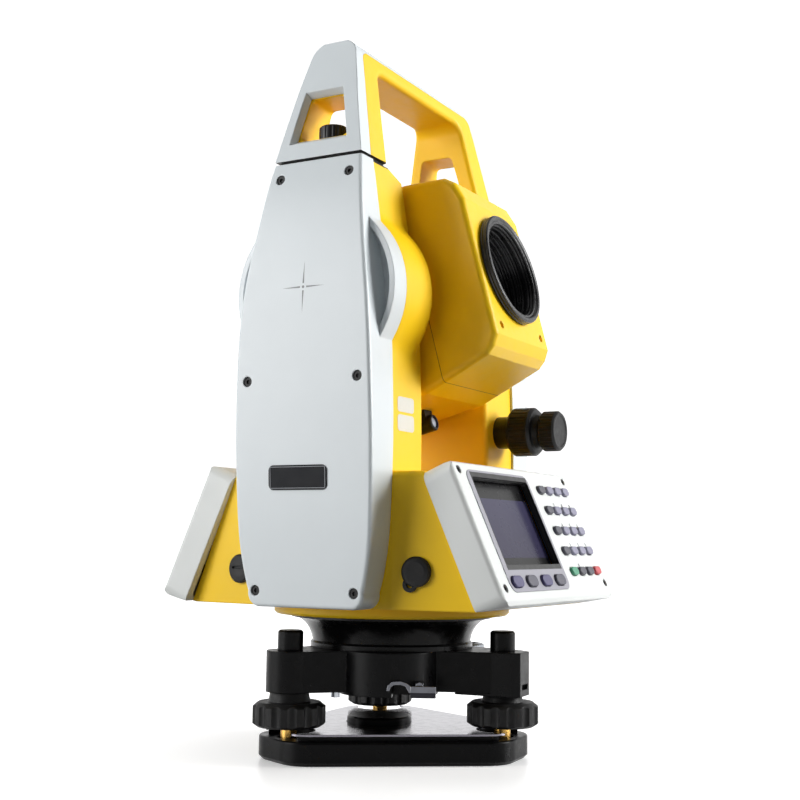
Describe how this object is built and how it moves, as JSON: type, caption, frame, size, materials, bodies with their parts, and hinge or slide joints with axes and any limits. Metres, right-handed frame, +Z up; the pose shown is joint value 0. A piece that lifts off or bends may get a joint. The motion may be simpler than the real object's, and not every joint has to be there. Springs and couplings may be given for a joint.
{
  "type": "surveying_total_station",
  "caption": "Surveying total station on a levelling tribrach: white standards, yellow telescope, sloped keypad panels, carrying handle and slow-motion knobs",
  "frame": {"origin": "on the standing axis, at the underside of the base plate where the tripod thread opens", "axes": "+Z up along the standing axis, X along the telescope's trunnion axis, -Y the way the front keypad faces"},
  "size_m": [0.1914, 0.1902, 0.352],
  "materials": {
    "cover_white": "satin",
    "panel_white": "satin",
    "yellow_shell": "satin",
    "tribrach_black": "satin",
    "rubber_black": "matte",
    "trim_black": "matte",
    "brass_screw": "machined",
    "steel_bright": "polished",
    "steel_plain": "brushed",
    "bezel_lilac": "satin",
    "lcd_glass": "polished",
    "key_grey": "matte",
    "key_dark": "matte",
    "key_violet": "matte",
    "optic_glass": "polished",
    "vial_glass": "polished",
    "slate_plate": "satin",
    "board_green": "matte",
    "frame_olive": "satin"
  },
  "bodies": {
    "tribrach": {"base_plate": "tribrach_black", "tripod_thread_bush": "brass_screw", "spring_plate": "steel_bright", "tribrach_top": "tribrach_black", "foot_screw_caps": "tribrach_black", "circular_level_housing": "steel_plain", "circular_level_vial": "vial_glass", "adjusting_screws": "steel_bright", "axis_flange": "tribrach_black", "vertical_axis_bush": "brass_screw", "horizontal_circle": "optic_glass"},
    "foot_screw_a": {"foot_knob_a": "rubber_black", "foot_spindle_a": "brass_screw"},
    "foot_screw_b": {"foot_knob_b": "rubber_black", "foot_spindle_b": "brass_screw"},
    "foot_screw_c": {"foot_knob_c": "rubber_black", "foot_spindle_c": "brass_screw"},
    "lock_lever": {"lock_lever": "steel_bright"},
    "alidade": {"vertical_axis_spindle": "steel_plain", "alidade_frame": "frame_olive", "left_side_cover": "cover_white", "right_side_cover": "cover_white", "housing_screws": "steel_plain", "front_panel_housing": "panel_white", "rear_panel_housing": "panel_white", "front_bezel": "bezel_lilac", "rear_bezel": "bezel_lilac", "front_display": "lcd_glass", "rear_display": "lcd_glass", "main_board": "board_green", "battery_pack": "trim_black", "port_cap": "rubber_black", "charging_cap": "rubber_black", "nameplate": "slate_plate", "handle_frame": "yellow_shell", "handle_shell": "cover_white", "trunnion_bearings": "steel_plain", "clamp_barrels": "trim_black"},
    "handle_screw_left": {"handle_screw_left": "trim_black"},
    "handle_screw_right": {"handle_screw_right": "trim_black"},
    "front_soft_keys": {"front_soft_keys": "key_violet"},
    "rear_soft_keys": {"rear_soft_keys": "key_violet"},
    "rear_keypad": {"rear_keypad": "key_grey"},
    "vertical_clamp": {"vertical_clamp_ring": "rubber_black"},
    "vertical_tangent": {"vertical_tangent_knob": "rubber_black"},
    "horizontal_clamp": {"horizontal_clamp_ring": "rubber_black"},
    "horizontal_tangent": {"horizontal_tangent_knob": "rubber_black"},
    "telescope": {"telescope_body": "yellow_shell", "objective_ring": "trim_black", "objective_lens": "optic_glass", "optical_sight": "trim_black", "telescope_axle": "steel_plain", "vertical_circle": "optic_glass", "distance_module": "board_green"},
    "focus_ring": {"focus_ring": "rubber_black"},
    "eyepiece": {"eyepiece": "trim_black"},
    "front_key_column_1": {"front_key_column_1": "key_dark"},
    "front_key_column_2": {"front_key_column_2": "key_grey"},
    "front_key_column_3": {"front_key_column_3": "key_grey"},
    "front_key_column_4": {"front_key_column_4": "key_grey"}
  },
  "joints": [
    {"name": "foot_screw_a_turn", "type": "hinge", "parent": "tribrach", "child": "foot_screw_a", "pos_m": [-0.05483, 0.02557, 0.022], "axis": [0, 0, 1], "range_deg": [-1080, 1080]},
    {"name": "foot_screw_b_turn", "type": "hinge", "parent": "tribrach", "child": "foot_screw_b", "pos_m": [0.00527, -0.06027, 0.022], "axis": [0, 0, 1], "range_deg": [-1080, 1080]},
    {"name": "foot_screw_c_turn", "type": "hinge", "parent": "tribrach", "child": "foot_screw_c", "pos_m": [0.04956, 0.0347, 0.022], "axis": [0, 0, 1], "range_deg": [-1080, 1080]},
    {"name": "lock_lever_swing", "type": "hinge", "parent": "tribrach", "child": "lock_lever", "pos_m": [-0.03403, -0.03484, 0.0374], "axis": [-0.8949, -0.4462, 0], "range_deg": [-12, 12]},
    {"name": "horizontal_rotation", "type": "hinge", "parent": "tribrach", "child": "alidade", "pos_m": [0, 0, 0.07], "axis": [0, 0, 1], "continuous": true},
    {"name": "telescope_tilt", "type": "hinge", "parent": "alidade", "child": "telescope", "pos_m": [0, 0, 0.224], "axis": [1, 0, 0], "continuous": true},
    {"name": "focusing_turn", "type": "hinge", "parent": "telescope", "child": "focus_ring", "pos_m": [0, 0.05821, 0.20944], "axis": [0, -0.9659, 0.2588], "range_deg": [-270, 270]},
    {"name": "eyepiece_turn", "type": "hinge", "parent": "telescope", "child": "eyepiece", "pos_m": [0, 0.08236, 0.20297], "axis": [0, -0.9659, 0.2588], "range_deg": [-180, 180]},
    {"name": "handle_screw_left_turn", "type": "hinge", "parent": "alidade", "child": "handle_screw_left", "pos_m": [-0.0644, 0, 0.295], "axis": [0, 0, 1], "range_deg": [0, 1080]},
    {"name": "handle_screw_right_turn", "type": "hinge", "parent": "alidade", "child": "handle_screw_right", "pos_m": [0.0644, 0, 0.295], "axis": [0, 0, 1], "range_deg": [0, 1080]},
    {"name": "front_soft_keys_press", "type": "slide", "parent": "alidade", "child": "front_soft_keys", "axis": [0, 0.9135, -0.4069], "range_m": [0, 0.0008], "stiffness_N_per_m": 400},
    {"name": "front_key_column_1_press", "type": "slide", "parent": "alidade", "child": "front_key_column_1", "axis": [0, 0.9135, -0.4069], "range_m": [0, 0.0008], "stiffness_N_per_m": 400},
    {"name": "front_key_column_2_press", "type": "slide", "parent": "alidade", "child": "front_key_column_2", "axis": [0, 0.9135, -0.4069], "range_m": [0, 0.0008], "stiffness_N_per_m": 400},
    {"name": "front_key_column_3_press", "type": "slide", "parent": "alidade", "child": "front_key_column_3", "axis": [0, 0.9135, -0.4069], "range_m": [0, 0.0008], "stiffness_N_per_m": 400},
    {"name": "front_key_column_4_press", "type": "slide", "parent": "alidade", "child": "front_key_column_4", "axis": [0, 0.9135, -0.4069], "range_m": [0, 0.0008], "stiffness_N_per_m": 400},
    {"name": "rear_soft_keys_press", "type": "slide", "parent": "alidade", "child": "rear_soft_keys", "axis": [0, -0.9135, -0.4069], "range_m": [0, 0.0008], "stiffness_N_per_m": 400},
    {"name": "rear_keypad_press", "type": "slide", "parent": "alidade", "child": "rear_keypad", "axis": [0, -0.9135, -0.4069], "range_m": [0, 0.0008], "stiffness_N_per_m": 400},
    {"name": "vertical_clamp_turn", "type": "hinge", "parent": "alidade", "child": "vertical_clamp", "pos_m": [0.052, -0.055, 0.1653], "axis": [0, -1, 0], "range_deg": [-45, 45]},
    {"name": "vertical_tangent_turn", "type": "hinge", "parent": "alidade", "child": "vertical_tangent", "pos_m": [0.052, -0.065, 0.1653], "axis": [0, -1, 0], "range_deg": [-1080, 1080]},
    {"name": "horizontal_clamp_turn", "type": "hinge", "parent": "alidade", "child": "horizontal_clamp", "pos_m": [0.08003, -0.0601, 0.099], "axis": [0.9902, -0.1399, 0], "range_deg": [-45, 45]},
    {"name": "horizontal_tangent_turn", "type": "hinge", "parent": "alidade", "child": "horizontal_tangent", "pos_m": [0.09488, -0.0622, 0.099], "axis": [0.9902, -0.1399, 0], "range_deg": [-1080, 1080]}
  ]
}
